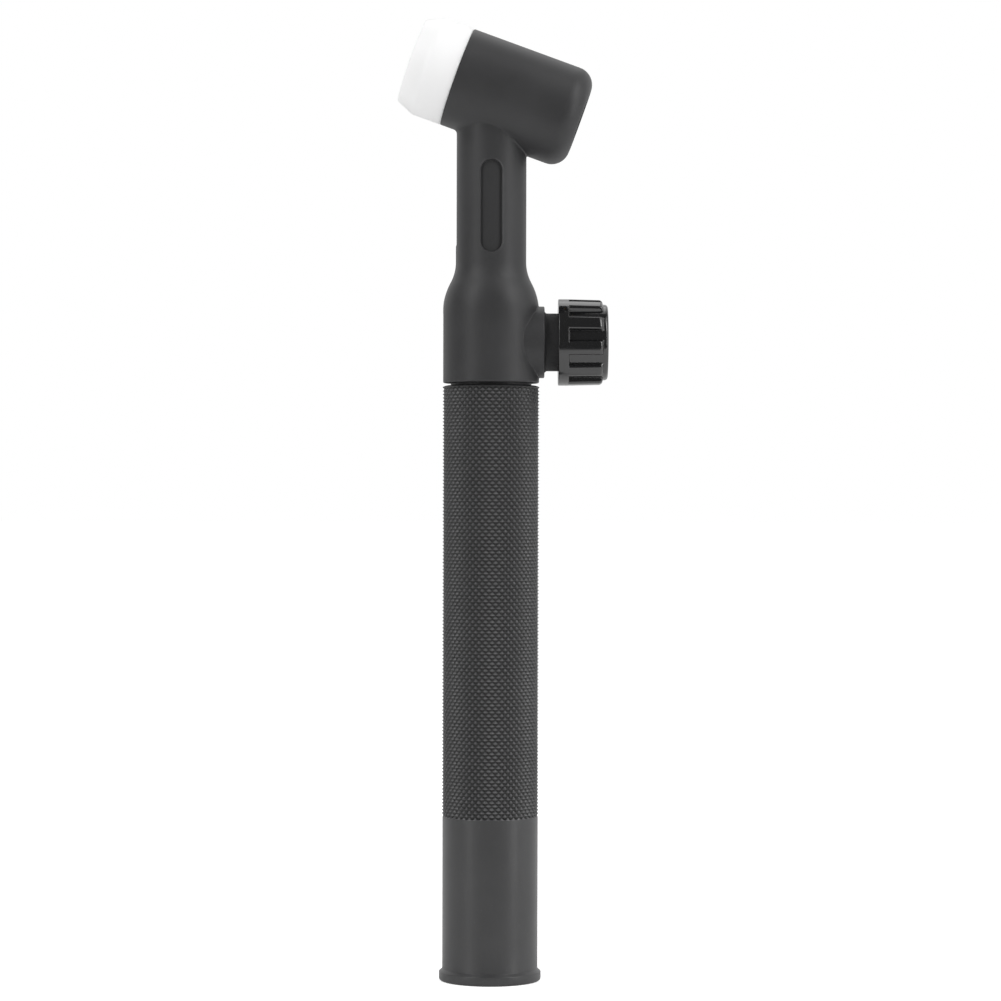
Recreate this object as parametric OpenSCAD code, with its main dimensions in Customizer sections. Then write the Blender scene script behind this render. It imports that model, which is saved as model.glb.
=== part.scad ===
// TIG welding torch: a tilted head, a moulded cover over brazed metalwork,
// a gas valve and a handle sleeve.
// The origin is the centre of the sleeve's tail mouth. +Z runs up the handle,
// +X points along the valve knob, and the nozzle end of the head faces -X.

/* [Handle sleeve] */
// Length of the sleeve, from tail mouth to top edge
handle_len = 130.7; // [115:0.1:150]
// Bore of the tail, which takes the cable sleeve
tail_bore_d = 18; // [17.4:0.1:20]
// Wall of the smooth tail
tail_wall = 1.5; // [1:0.05:2.5]
// Length of the smooth tail, up to the grip
tail_len = 35.9; // [20:0.1:60]
// Height of the grip above the tail
grip_rise = 0.15; // [0.05:0.05:0.8]
// Height of the mouth flange above the tail
flange_rise = 0.7; // [0.3:0.05:2]
// Height of the flange's straight rim
flange_h = 2; // [1.4:0.1:5]
// Height of the slope from the flange to the tail
flange_slope_h = 0.6; // [0.2:0.05:2]
// Rounding of the flange's lower edge
flange_edge_r = 0.6; // [0.2:0.05:0.9]
// Height of the domed top edge
dome_h = 0.5; // [0.2:0.05:1]
// Flat ring between the stop seat and the domed edge
dome_land = 0.2; // [0.1:0.05:0.5]
// Length of the narrower bore that grips the spigot
grip_bore_len = 35; // [28:0.1:45]

/* [Spigot] */
// Diameter of the spigot between its ribs
spigot_d = 16.6; // [15.2:0.1:17]
// Length of the spigot below the body
spigot_len = 19.2; // [14:0.1:24]
// Height of the spigot's grip ribs
spigot_rib_rise = 0.1; // [0.05:0.05:0.3]
// Width of each grip rib
spigot_rib_w = 1.6; // [0.8:0.1:2]
// Number of grip ribs
spigot_rib_n = 4; // [2:1:5]
// Radial fit of the ribs in the sleeve
spigot_fit = 0.05; // [0.02:0.01:0.1]
// Height of the stop ring above the spigot
stop_rise = 0.57; // [0.4:0.01:0.8]
// Radial clearance round the stop ring
stop_clear = 0.08; // [0.05:0.01:0.2]
// Depth of the stop ring's seat in the sleeve
stop_seat_h = 0.7; // [0.4:0.1:1.5]
// Open groove between sleeve and body
handle_gap = 0.5; // [0.3:0.1:1.5]

/* [Body and neck] */
// Diameter of the body round the valve
body_d = 21.1; // [19.6:0.1:24]
// Height of the straight part of the body
body_h = 15.2; // [12:0.1:19]
// Bevel of the body's lower edge
body_edge = 0.3; // [0.1:0.05:0.8]
// Diameter of the neck
neck_d = 15.34; // [13:0.02:18]
// Length of the straight neck, up to the head's centre
neck_len = 38; // [32:0.1:48]
// Hollow radius where the neck widens
shoulder_hollow_r = 9.5; // [5:0.1:15]
// Round radius where the shoulder meets the body
shoulder_round_r = 14.5; // [8:0.1:20]
// Width of the recess on the neck
recess_w = 4.65; // [3:0.05:7]
// Length of the recess
recess_len = 20.2; // [12:0.1:24]
// Depth of the recess
recess_depth = 0.5; // [0.2:0.05:1]
// Height of the recess's middle above the straight neck's foot
recess_up = 12; // [12:0.1:16]

/* [Head] */
// Diameter of the head
head_d = 22.2; // [20:0.1:26]
// Tilt of the head: the nozzle end rises by this angle
head_tilt = 20; // [0:1:35]
// Neck axis to the head's front face, along the head
head_front = 8; // [7:0.1:11]
// Neck axis to the head's rear face, along the head
head_rear = 20.65; // [19:0.05:25]
// Rounding of the head's rear corner
head_corner_r = 4; // [1:0.1:4]
// Smallest flat ring round the cap mouth
mouth_land = 0.3; // [0.2:0.05:1]
// Radial room round the core in the cap mouth
mouth_clear = 0.3; // [0.2:0.05:1]
// Depth of the cap mouth
mouth_depth = 2.5; // [1.5:0.1:4]

/* [Head core] */
// Diameter of the core
core_d = 13; // [12:0.1:15]
// Length of the core's nose in front of the head
core_nose = 1.5; // [1:0.1:2.5]
// Bore through the core
core_bore_d = 6.4; // [5:0.1:7]
// Diameter of the tapped ends
tap_d = 8.6; // [7.6:0.1:9.6]
// Length of the tapped ends
tap_len = 8; // [5:0.1:8.4]

/* [Cup gasket] */
// Step from the head's side down to the gasket's side
gasket_step = 0; // [0:0.1:1.5]
// Length of the gasket
gasket_len = 10.6; // [8:0.1:14]
// Bore of the gasket
gasket_bore_d = 10.4; // [10:0.1:11.4]
// Length of the bevel round the gasket's front
gasket_bevel_l = 3.9; // [1:0.1:5]
// Width of the bevel round the gasket's front
gasket_bevel_w = 1.7; // [0.5:0.1:1.7]
// Widening of the bore at the front
cup_flare_w = 1.6; // [0.5:0.1:1.8]
// Depth of the widened front
cup_flare_l = 2.2; // [1:0.1:3.5]
// Radial room round the core's nose
nose_clear = 0.3; // [0.2:0.05:0.6]
// Room in front of the core's nose
nose_room = 0.3; // [0.2:0.05:1]

/* [Neck tube] */
// Diameter of the tube
tube_d = 8; // [7:0.1:8.6]
// Bore of the tube
tube_bore_d = 5.5; // [4:0.1:6]
// Depth of the tube's seat in the valve block
tube_seat = 4; // [2:0.1:5]
// Least metal between the tube's end and the core's bore
tube_end_land = 0.1; // [0.05:0.05:0.5]

/* [Valve block and cable stud] */
// Height of the valve's axis above the body's foot
valve_up = 9; // [8.4:0.1:11]
// Diameter of the block
block_d = 14; // [12.4:0.1:16]
// Top of the block above the valve's axis
block_up = 11; // [9.5:0.1:12]
// Foot of the block below the valve's axis
block_down = 7; // [6.7:0.1:8]
// Diameter of the block's nose
nose_d = 10; // [8.8:0.1:10.8]
// Diameter of the cable stud's thread
stud_d = 9.52; // [8.4:0.02:11]
// Length of the stud below the body's foot
stud_len = 32.2; // [26:0.1:34]
// Height of the undercut between the stud's thread and the spigot
undercut_h = 1.5; // [0.5:0.1:2.5]
// Depth of the undercut
undercut_depth = 0.8; // [0.4:0.1:1.2]
// Bore of the stud
stud_bore_d = 4; // [3:0.1:5]
// Diameter of the stud's tenon in the block
tenon_d = 7.2; // [6.2:0.1:8]
// Height of the tenon
tenon_h = 3; // [2:0.1:3.1]
// Leg of the solder fillets
solder_leg = 1.2; // [0.6:0.1:1.6]

/* [Valve] */
// Diameter of the boss on the body
boss_d = 15.74; // [14.2:0.02:16.6]
// How far the boss stands beyond the body
boss_stand = 1.15; // [0.5:0.05:3]
// Bevel of the boss's edge
boss_edge = 0.3; // [0.1:0.05:0.6]
// Diameter of the collar round the nose
collar_d = 12.7; // [12:0.1:13.6]
// Height of the cone between boss and collar
collar_cone = 0.4; // [0.1:0.05:1]
// How far the collar runs into the closed knob
collar_cover = 1.8; // [1.6:0.1:3]
// Bore of the valve
valve_bore_d = 6.6; // [6:0.1:6.9]
// Radial fit of the stem
stem_fit = 0.05; // [0.02:0.01:0.1]
// Seat to the body's axis
seat_x = 1.6; // [1:0.1:2]
// Diameter of the seat's hole
seat_d = 2.2; // [1.6:0.1:2.6]
// Half angle of the needle
needle_angle = 30; // [20:1:40]
// Gap between the closed needle and the seat's edge
needle_gap = 0.05; // [0.02:0.01:0.1]
// Diameter of the stem behind the needle
needle_d = 3.4; // [3:0.1:4]
// Diameter of the gas ports
port_d = 1.6; // [1:0.1:1.8]
// Section of the O-rings
o_ring_section = 1.1; // [0.9:0.05:1.3]
// Seat to the first O-ring
o_ring_x = 3.4; // [3:0.1:4]
// Spacing of the O-rings
o_ring_pitch = 2.9; // [2.6:0.1:3.4]
// Side play of an O-ring in its groove
o_ring_play = 0.2; // [0.1:0.05:0.4]
// Radial fit of an O-ring
o_ring_fit = 0.05; // [0.02:0.01:0.08]
// Relief of the stem's shank below its thread
stem_relief = 0.35; // [0.2:0.05:0.6]

/* [Knob] */
// Gap between the boss and the closed knob
knob_gap = 3; // [2:0.1:5]
// Length of the knob
knob_len = 10.9; // [9:0.1:16]
// Radial room round the collar inside the knob
knob_clear = 0.3; // [0.2:0.05:0.8]
// Wall of the knob's skirt
knob_wall = 1.65; // [1.2:0.05:3]
// Height of the rim above the flute floor
rim_rise = 1.2; // [0.6:0.05:2.5]
// Length of the rim
rim_len = 2.3; // [1:0.1:4]
// Number of ribs
rib_n = 10; // [6:1:12]
// Width of a rib at its foot
rib_w = 3.2; // [1.5:0.1:3.6]
// Width lost by a rib towards its crest
rib_draft = 0.6; // [0:0.1:1]
// Height of a rib above the flute floor
rib_rise = 1.2; // [0.4:0.05:1.2]
// Drop of the crest towards the knob's end
rib_fall = 0.15; // [0:0.05:0.35]
// Length of the ribs beyond the rim
rib_len = 7.5; // [4:0.1:8]
// Turn of the first rib
rib_turn = -7.9; // [-20:0.1:20]
// Rounding of the knob's end
knob_edge_r = 0.7; // [0.2:0.05:1]
// Thickness of the knob's end wall
knob_end_wall = 2.4; // [1.5:0.1:4]
// Diameter of the hub inside the knob
hub_d = 9.6; // [8.6:0.1:11]
// Gap between the nose and the hub
hub_gap = 0.6; // [0.3:0.1:1.2]
// Diameter of the stem's knurled end in the hub
shank_d = 5.8; // [4:0.1:5.9]

/* [Hidden] */

$fn = 96;
eps = 0.01;
arc_steps = 6;

tail_bore_r = tail_bore_d / 2;
tail_r = tail_bore_r + tail_wall;
grip_r = tail_r + grip_rise;
flange_r = tail_r + flange_rise;

spigot_r = spigot_d / 2;
spigot_rib_r = spigot_r + spigot_rib_rise;
grip_bore_r = spigot_rib_r + spigot_fit;
stop_r = spigot_r + stop_rise;
stop_seat_r = stop_r + stop_clear;
dome_w = grip_r - stop_seat_r - dome_land;

body_z = handle_len + handle_gap;
body_r = body_d / 2;
neck_r = neck_d / 2;
shoulder_z = body_z + body_h;
shoulder_angle = acos(1 - (body_r - neck_r) / (shoulder_hollow_r + shoulder_round_r));
shoulder_h = (shoulder_hollow_r + shoulder_round_r) * sin(shoulder_angle);
neck_z = shoulder_z + shoulder_h;
head_z = neck_z + neck_len;
recess_z = neck_z + recess_up;

head_r = head_d / 2;
core_r = core_d / 2;
core_bore_r = core_bore_d / 2;
mouth_r = core_r + mouth_clear;
head_round_r = min(head_corner_r, head_r - mouth_r - mouth_land);
core_front = -head_front - core_nose;
core_rear = head_rear - mouth_depth;

gasket_r = head_r - gasket_step;
gasket_front = -head_front - gasket_len;
nose_seat_r = core_r + nose_clear;

tube_r = tube_d / 2;
tube_bore_r = tube_bore_d / 2;
tube_top = head_z - (core_bore_r + tube_r * sin(head_tilt)) / cos(head_tilt) - tube_end_land;

valve_z = body_z + valve_up;
block_r = block_d / 2;
block_top = valve_z + block_up;
block_foot = valve_z - block_down;
nose_r = nose_d / 2;
stud_r = stud_d / 2;
stud_foot = body_z - stud_len;
spigot_foot = body_z - spigot_len;
tenon_r = tenon_d / 2;
thread_bevel = 0.6;

boss_r = boss_d / 2;
boss_x = body_r + boss_stand;
collar_r = collar_d / 2;
knob_x = boss_x + knob_gap;
collar_x = knob_x + collar_cover;
knob_end = knob_x + knob_len;
hub_x = collar_x + hub_gap;
hub_end = knob_end - knob_end_wall;

valve_bore_r = valve_bore_d / 2;
seat_r = seat_d / 2;
port_r = port_d / 2;
inlet_x = -port_r;
outlet_x = seat_x + port_r / 2;
stem_r = valve_bore_r - stem_fit;
needle_r = needle_d / 2;
needle_tip_r = 0.4;
needle_tip_x = seat_x - (seat_r - needle_gap - needle_tip_r) / tan(needle_angle);
needle_end_x = needle_tip_x + (needle_r - needle_tip_r) / tan(needle_angle);
o_ring_r = o_ring_section / 2;
o_ring_mid_r = valve_bore_r - o_ring_fit - o_ring_r;
groove_r = o_ring_mid_r - o_ring_r - o_ring_fit;
groove_half = o_ring_r + o_ring_play;
ring_land = 0.7;
land_x = seat_x + o_ring_x - groove_half - ring_land;
inner_ring_x = seat_x + o_ring_x;
outer_ring_x = inner_ring_x + o_ring_pitch;
thread_end_depth = 2;
stem_thread_end = collar_x - thread_end_depth;
shank_r = shank_d / 2;

flute_r = collar_r + knob_clear + knob_wall;
rim_r = flute_r + rim_rise;
rib_r = flute_r + rib_rise;
rib_end_land = 0.2;
rib_end = rim_len + min(rib_len, knob_len - rim_len - knob_edge_r - rib_end_land);
rib_round_share = 0.9;
rib_round_r = (rib_rise - rib_fall) * rib_round_share;

// Points of an arc about [cx, cy], from angle a to angle b
function arc(cx, cy, rx, ry, a, b) = [
  for (i = [0:arc_steps])
    let (t = a + (b - a) * i / arc_steps)
      [cx + rx * cos(t), cy + ry * sin(t)]
];

// Local +Z runs along the head, towards the cap end
module at_head() {
  translate([0, 0, head_z]) rotate([0, 90 + head_tilt, 0]) children();
}

// Local +Z runs along the valve, towards the knob
module at_valve() {
  translate([0, 0, valve_z]) rotate([0, 90, 0]) children();
}

// A solid of revolution that runs from z0 to z1
module rod(r, z0, z1) {
  translate([0, 0, z0]) cylinder(r = r, h = z1 - z0);
}

module handle_sleeve() {
  seat_z = handle_len - stop_seat_h;
  step_z = handle_len - grip_bore_len;
  color("#414243") rotate_extrude() polygon(concat(
    [[tail_bore_r, 0]],
    arc(flange_r - flange_edge_r, flange_edge_r, flange_edge_r, flange_edge_r, -90, 0),
    [
      [flange_r, flange_h],
      [tail_r, flange_h + flange_slope_h],
      [tail_r, tail_len],
      [grip_r, tail_len + grip_rise]
    ],
    arc(grip_r - dome_w, handle_len - dome_h, dome_w, dome_h, 0, 90),
    [
      [stop_seat_r, handle_len],
      [stop_seat_r, seat_z],
      [grip_bore_r, seat_z],
      [grip_bore_r, step_z],
      [tail_bore_r, step_z - (tail_bore_r - grip_bore_r)]
    ]
  ));
}

// Spigot, body, shoulder and neck in one outline
module cover_stem() {
  pitch = (spigot_len - stop_seat_h - handle_gap) / spigot_rib_n;
  stop_z = body_z - handle_gap - stop_seat_h;
  rib_points = [
    for (i = [0:spigot_rib_n - 1])
      let (z = spigot_foot + pitch * (i + 0.5) - spigot_rib_w / 2)
        each [
          [spigot_r, z],
          [spigot_rib_r, z + spigot_rib_rise],
          [spigot_rib_r, z + spigot_rib_w - spigot_rib_rise],
          [spigot_r, z + spigot_rib_w]
        ]
  ];
  rotate_extrude() polygon(concat(
    [[0, spigot_foot], [spigot_r - body_edge, spigot_foot], [spigot_r, spigot_foot + body_edge]],
    rib_points,
    [
      [spigot_r, stop_z],
      [stop_r, stop_z],
      [stop_r, body_z],
      [body_r - body_edge, body_z],
      [body_r, body_z + body_edge]
    ],
    arc(body_r - shoulder_round_r, shoulder_z, shoulder_round_r, shoulder_round_r,
      0, shoulder_angle),
    arc(neck_r + shoulder_hollow_r, neck_z, shoulder_hollow_r, shoulder_hollow_r,
      180 + shoulder_angle, 180),
    [[neck_r, head_z], [0, head_z]]
  ));
}

module cover_head() {
  at_head() rotate_extrude() polygon(concat(
    [[0, -head_front], [head_r, -head_front]],
    arc(head_r - head_round_r, head_rear - head_round_r, head_round_r, head_round_r, 0, 90),
    [[0, head_rear]]
  ));
}

module cover_boss() {
  at_valve() rotate_extrude() polygon([
    [0, 0],
    [boss_r, 0],
    [boss_r, boss_x - boss_edge],
    [boss_r - boss_edge, boss_x],
    [collar_r + collar_cone, boss_x],
    [collar_r, boss_x + collar_cone],
    [collar_r, collar_x],
    [0, collar_x]
  ]);
}

module stadium(w, l) {
  straight = l / 2 - w / 2;
  polygon(concat(
    arc(0, straight, w / 2, w / 2, 0, 180),
    arc(0, -straight, w / 2, w / 2, 180, 360)
  ));
}

module neck_recess() {
  difference() {
    translate([0, 0, recess_z]) rotate([90, 0, 0])
      linear_extrude(neck_r + 1) stadium(recess_w, recess_len);
    rod(neck_r - recess_depth, recess_z - recess_len, recess_z + recess_len);
  }
}

// Room that the metalwork takes up in the moulded cover
module metalwork_space() {
  at_head() rod(core_r, core_front, core_rear + eps);
  at_valve() rod(nose_r, 0, collar_x + eps);
  rod(tube_r, block_top - eps, head_z);
  rod(block_r, block_foot, block_top);
  rod(stud_r, stud_foot - eps, block_foot + eps);
  head_solder_cone();
  solder_ring(tube_r, block_top, solder_leg);
  solder_ring(stud_r, block_foot, -solder_leg);
}

module torch_cover() {
  color("#39393a") difference() {
    union() {
      cover_stem();
      cover_head();
      cover_boss();
    }
    metalwork_space();
    at_head() rod(mouth_r, core_rear, head_rear + 1);
    neck_recess();
  }
}

module head_core() {
  color("#c9a24d") difference() {
    at_head() rotate_extrude() polygon([
      [tap_d / 2, core_front],
      [core_r, core_front],
      [core_r, core_rear],
      [tap_d / 2, core_rear],
      [tap_d / 2, core_rear - tap_len],
      [core_bore_r, core_rear - tap_len],
      [core_bore_r, core_front + tap_len],
      [tap_d / 2, core_front + tap_len]
    ]);
    rod(tube_r, head_z - head_d, tube_top);
    rod(tube_bore_r, head_z - head_d, head_z);
  }
}

module neck_tube() {
  color("#b87345") difference() {
    rod(tube_r, block_top - tube_seat, tube_top);
    rod(tube_bore_r, block_top - tube_seat - 1, tube_top + 1);
  }
}

module valve_block() {
  color("#c9a24d") difference() {
    union() {
      rod(block_r, block_foot, block_top);
      at_valve() rod(nose_r, 0, collar_x);
    }
    rod(tube_r, block_top - tube_seat, block_top + 1);
    rod(tenon_r, block_foot - 1, block_foot + tenon_h);
    translate([inlet_x, 0, 0]) rod(port_r, block_foot, valve_z);
    translate([outlet_x, 0, 0]) rod(port_r, valve_z + valve_bore_r / 2, block_top);
    at_valve() rod(seat_r, inlet_x, seat_x + eps);
    at_valve() rod(valve_bore_r, seat_x, collar_x + 1);
  }
}

module cable_stud() {
  tenon_z = block_foot + tenon_h;
  color("#c9a24d") rotate_extrude() polygon([
    [stud_bore_d / 2, stud_foot],
    [stud_r - thread_bevel, stud_foot],
    [stud_r, stud_foot + thread_bevel],
    [stud_r, spigot_foot - undercut_h],
    [stud_r - undercut_depth, spigot_foot - undercut_h],
    [stud_r - undercut_depth, spigot_foot],
    [stud_r, spigot_foot],
    [stud_r, block_foot],
    [tenon_r, block_foot],
    [tenon_r, tenon_z],
    [stud_bore_d / 2, tenon_z]
  ]);
}

// A fillet round a rod of radius r: it lies on the face at z and stands leg high
module solder_ring(r, z, leg) {
  rotate_extrude() polygon([[r, z], [r + abs(leg), z], [r, z + leg]]);
}

// Cone of solder that fills the saddle between the tube and the core
module head_solder_cone() {
  low = core_r / cos(head_tilt) + tube_r * tan(head_tilt) + solder_leg;
  high = tube_r;
  translate([0, 0, head_z - low])
    cylinder(r1 = tube_r, r2 = tube_r + 1.5 * solder_leg, h = low - high);
}

module head_solder() {
  color("#c8c8c4") difference() {
    head_solder_cone();
    rod(tube_r, block_top, head_z);
    at_head() rod(core_r, core_front, core_rear);
  }
}

module block_solder() {
  color("#c8c8c4") solder_ring(tube_r, block_top, solder_leg);
}

module stud_solder() {
  color("#c8c8c4") solder_ring(stud_r, block_foot, -solder_leg);
}

module cup_gasket() {
  bore = gasket_bore_d / 2;
  color("#f4f4f2") at_head() rotate_extrude() polygon([
    [bore + cup_flare_w, gasket_front],
    [gasket_r - gasket_bevel_w, gasket_front],
    [gasket_r, gasket_front + gasket_bevel_l],
    [gasket_r, -head_front],
    [nose_seat_r, -head_front],
    [nose_seat_r, core_front - nose_room],
    [bore, core_front - nose_room],
    [bore, gasket_front + cup_flare_l]
  ]);
}

function groove(x) = [
  [stem_r, x - groove_half],
  [groove_r, x - groove_half],
  [groove_r, x + groove_half],
  [stem_r, x + groove_half]
];

module valve_stem() {
  color("#c9a24d") at_valve() rotate_extrude() polygon(concat(
    [
      [0, needle_tip_x],
      [needle_tip_r, needle_tip_x],
      [needle_r, needle_end_x],
      [needle_r, land_x],
      [stem_r, land_x]
    ],
    groove(inner_ring_x),
    groove(outer_ring_x),
    [
      [stem_r, stem_thread_end],
      [stem_r - stem_relief, stem_thread_end + stem_relief],
      [stem_r - stem_relief, hub_x],
      [shank_r, hub_x],
      [shank_r, hub_end],
      [0, hub_end]
    ]
  ));
}

module o_ring(x) {
  color("#1d1d1e") at_valve() translate([0, 0, x])
    rotate_extrude() translate([o_ring_mid_r, 0]) circle(r = o_ring_r);
}

module inner_o_ring() {
  o_ring(inner_ring_x);
}

module outer_o_ring() {
  o_ring(outer_ring_x);
}

// Rim, fluted skirt and end of the knob, without the ribs
module knob_body() {
  rotate_extrude() polygon(concat(
    [
      [0, knob_x],
      [rim_r, knob_x],
      [rim_r, knob_x + rim_len],
      [flute_r, knob_x + rim_len]
    ],
    arc(flute_r - knob_edge_r, knob_end - knob_edge_r, knob_edge_r, knob_edge_r, 0, 90),
    [[0, knob_end]]
  ));
}

// Surface that the crests of the ribs lie on
module rib_envelope() {
  crest = rib_r - rib_fall;
  end = knob_x + rib_end;
  rotate_extrude() polygon(concat(
    [[0, knob_x + rim_len - eps], [rib_r, knob_x + rim_len - eps]],
    arc(crest - rib_round_r, end - rib_round_r, rib_round_r, rib_round_r, 0, 90),
    [[0, end]]
  ));
}

module knob_rib() {
  reach = 0.5;
  foot = flute_r - reach;
  crest = rib_r + reach;
  slope = rib_draft / rib_rise / 2;
  foot_w = rib_w / 2 + slope * reach;
  crest_w = rib_w / 2 - slope * (crest - flute_r);
  translate([0, 0, knob_x]) linear_extrude(knob_len)
    polygon([[foot, -foot_w], [crest, -crest_w], [crest, crest_w], [foot, foot_w]]);
}

module valve_knob() {
  color("#19191a") at_valve() difference() {
    union() {
      knob_body();
      intersection() {
        rib_envelope();
        for (i = [0:rib_n - 1])
          rotate([0, 0, rib_turn + 360 * i / rib_n]) knob_rib();
      }
    }
    difference() {
      rod(collar_r + knob_clear, knob_x - 1, hub_end);
      rod(hub_d / 2, hub_x, hub_end + 1);
    }
    rod(shank_r, hub_x - 1, hub_end);
  }
}

handle_sleeve();
torch_cover();
head_core();
neck_tube();
valve_block();
cable_stud();
head_solder();
block_solder();
stud_solder();
cup_gasket();
valve_stem();
inner_o_ring();
outer_o_ring();
valve_knob();
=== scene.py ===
import math

import bmesh
import bpy
import numpy as np
from mathutils import Matrix, Vector


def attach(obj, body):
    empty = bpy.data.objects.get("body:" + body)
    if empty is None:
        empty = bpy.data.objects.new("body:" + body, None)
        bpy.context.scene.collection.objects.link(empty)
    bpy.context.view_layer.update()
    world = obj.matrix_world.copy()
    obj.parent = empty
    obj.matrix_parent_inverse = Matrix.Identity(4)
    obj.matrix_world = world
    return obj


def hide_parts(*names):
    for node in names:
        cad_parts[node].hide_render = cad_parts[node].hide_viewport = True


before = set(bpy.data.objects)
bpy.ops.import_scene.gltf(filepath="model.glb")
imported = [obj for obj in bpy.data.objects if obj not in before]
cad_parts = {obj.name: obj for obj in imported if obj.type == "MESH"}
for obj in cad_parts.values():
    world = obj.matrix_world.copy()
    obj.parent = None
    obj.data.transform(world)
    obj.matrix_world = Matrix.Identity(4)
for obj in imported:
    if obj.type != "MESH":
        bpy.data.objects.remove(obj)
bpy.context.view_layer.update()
mm = 0.001
turn = 2 * math.pi
weldDistance = 0.001 * mm
noiseSpan = (0.3, 0.7)  # nearly all values of a noise pattern lie in here
bandsPerUnit = 3.18  # of a wave pattern at scale 1


# A colour written as a hex code, in the shader's linear values
def hexToLinear(code):
    channels = [int(code[i:i + 2], 16) / 255 for i in (1, 3, 5)]
    return (*(c / 12.92 if c <= 0.04045 else ((c + 0.055) / 1.055) ** 2.4 for c in channels), 1)


# Values go to the node's inputs: plain numbers are set, nodes and sockets are linked
def addNode(tree, kind, *values, named=None, **settings):
    node = tree.nodes.new(kind)
    for key, value in settings.items():
        setattr(node, key, value)
    for key, value in [*enumerate(values), *(named or {}).items()]:
        if isinstance(value, bpy.types.Node):
            value = value.outputs[0]
        if isinstance(value, bpy.types.NodeSocket):
            tree.links.new(value, node.inputs[key])
        elif value is not None:
            node.inputs[key].default_value = value
    return node


# A pattern's scale is written as its features per millimetre, over mm
def newMaterial(name):
    material = bpy.data.materials.new(name)
    material.use_nodes = True
    tree = material.node_tree
    tree.nodes.clear()
    return material, tree, addNode(tree, "ShaderNodeTexCoord").outputs["Object"]


# Ends a material: a relief (strength, depth in mm, pattern) under one shader
def finishMaterial(material, relief, values):
    tree = material.node_tree
    strength, depth, pattern = relief
    bump = addNode(tree, "ShaderNodeBump", named={
        "Strength": strength, "Distance": depth * mm, "Height": pattern})
    shader = addNode(tree, "ShaderNodeBsdfPrincipled", named={**values, "Normal": bump})
    addNode(tree, "ShaderNodeOutputMaterial", shader)
    return material


# Of a place: its x, its height and its distance from the handle's axis
def splitPlace(tree, place):
    x, y, z = addNode(tree, "ShaderNodeSeparateXYZ", place).outputs
    spoke = addNode(tree, "ShaderNodeCombineXYZ", x, y, 0.0)
    return x, z, addNode(tree, "ShaderNodeVectorMath", spoke, operation="LENGTH").outputs[1]


# Two shades of a colour, mixed by a pattern and then scaled
def mixShades(tree, low, high, pattern, scale):
    shades = addNode(tree, "ShaderNodeMix", data_type="RGBA", named={
        0: pattern, 6: hexToLinear(low), 7: hexToLinear(high)})
    return addNode(tree, "ShaderNodeVectorMath", shades.outputs[2], operation="SCALE",
                   named={"Scale": scale})


# A noise pattern with a number of features per mm, and its values spread between two others
def spreadNoise(tree, place, perMm, detail, low, high):
    noise = addNode(tree, "ShaderNodeTexNoise", named={
        "Vector": place, "Scale": perMm / mm, "Detail": detail})
    return noise, addNode(tree, "ShaderNodeMapRange", noise, *noiseSpan, low, high)


def newGeometryTree(name, inputs):
    tree = bpy.data.node_groups.new(name, "GeometryNodeTree")
    face = tree.interface
    face.new_socket("Geometry", in_out="INPUT", socket_type="NodeSocketGeometry")
    for label, kind, value in inputs:
        socket = face.new_socket(label, in_out="INPUT", socket_type="NodeSocket" + kind)
        if value is not None:
            socket.default_value = value
    face.new_socket("Geometry", in_out="OUTPUT", socket_type="NodeSocketGeometry")
    return tree, addNode(tree, "NodeGroupInput").outputs


# Ends a tree: instances are made real and the material is set
def finishTree(tree, given, shape):
    solid = addNode(tree, "GeometryNodeRealizeInstances", shape)
    painted = addNode(tree, "GeometryNodeSetMaterial", solid, named={"Material": given["Material"]})
    addNode(tree, "NodeGroupOutput", painted)
    return tree


# Of every point: its height, its share of a turn round Z and the direction away from Z
def pointsRoundZ(tree):
    x, y, z = addNode(tree, "ShaderNodeSeparateXYZ", addNode(tree, "GeometryNodeInputPosition")).outputs
    angle = addNode(tree, "ShaderNodeMath", y, x, operation="ARCTAN2")
    share = addNode(tree, "ShaderNodeMath", angle, turn, operation="DIVIDE")
    flat = addNode(tree, "ShaderNodeCombineXYZ", x, y, 0.0)
    return z, share, addNode(tree, "ShaderNodeVectorMath", flat, operation="NORMALIZE")


# Runs a node tree on a piece and keeps the plain mesh that comes out
def applyTree(piece, tree, values):
    modifier = piece.modifiers.new(tree.name, "NODES")
    modifier.node_group = tree
    for item in tree.interface.items_tree:
        if item.in_out == "INPUT" and item.name in values:
            modifier[item.identifier] = values[item.name]
    shaped = piece.evaluated_get(bpy.context.evaluated_depsgraph_get())
    mesh = bpy.data.meshes.new_from_object(shaped)
    piece.modifiers.remove(modifier)
    piece.data = mesh


def readPoints(piece):
    points = np.zeros(len(piece.data.vertices) * 3)
    piece.data.vertices.foreach_get("co", points)
    return points.reshape(-1, 3) / mm


# Marks the points for a tree that reads the mark, runs it and finds the sharp edges
def applyMarked(piece, label, marks, tree, values, sharp):
    mark = piece.data.attributes.new(label, "FLOAT", "POINT")
    mark.data.foreach_set("value", marks.astype(np.float32))
    applyTree(piece, tree, values)
    piece.data.attributes.remove(piece.data.attributes[label])
    piece.data.set_sharp_from_angle(angle=math.radians(sharp))


# Turns the faces outwards, once near points are welded where a distance is given
def mendMesh(mesh, weld=0):
    shape = bmesh.new()
    shape.from_mesh(mesh)
    if weld:
        bmesh.ops.remove_doubles(shape, verts=shape.verts, dist=weld)
        bmesh.ops.dissolve_degenerate(shape, edges=shape.edges, dist=weld / 4)
    bmesh.ops.recalc_face_normals(shape, faces=shape.faces)
    openEdges = sum(len(edge.link_faces) != 2 for edge in shape.edges)
    print(f"{mesh.name}: {len(shape.faces)} faces, {openEdges} open edges")
    shape.to_mesh(mesh)
    shape.free()


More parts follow.
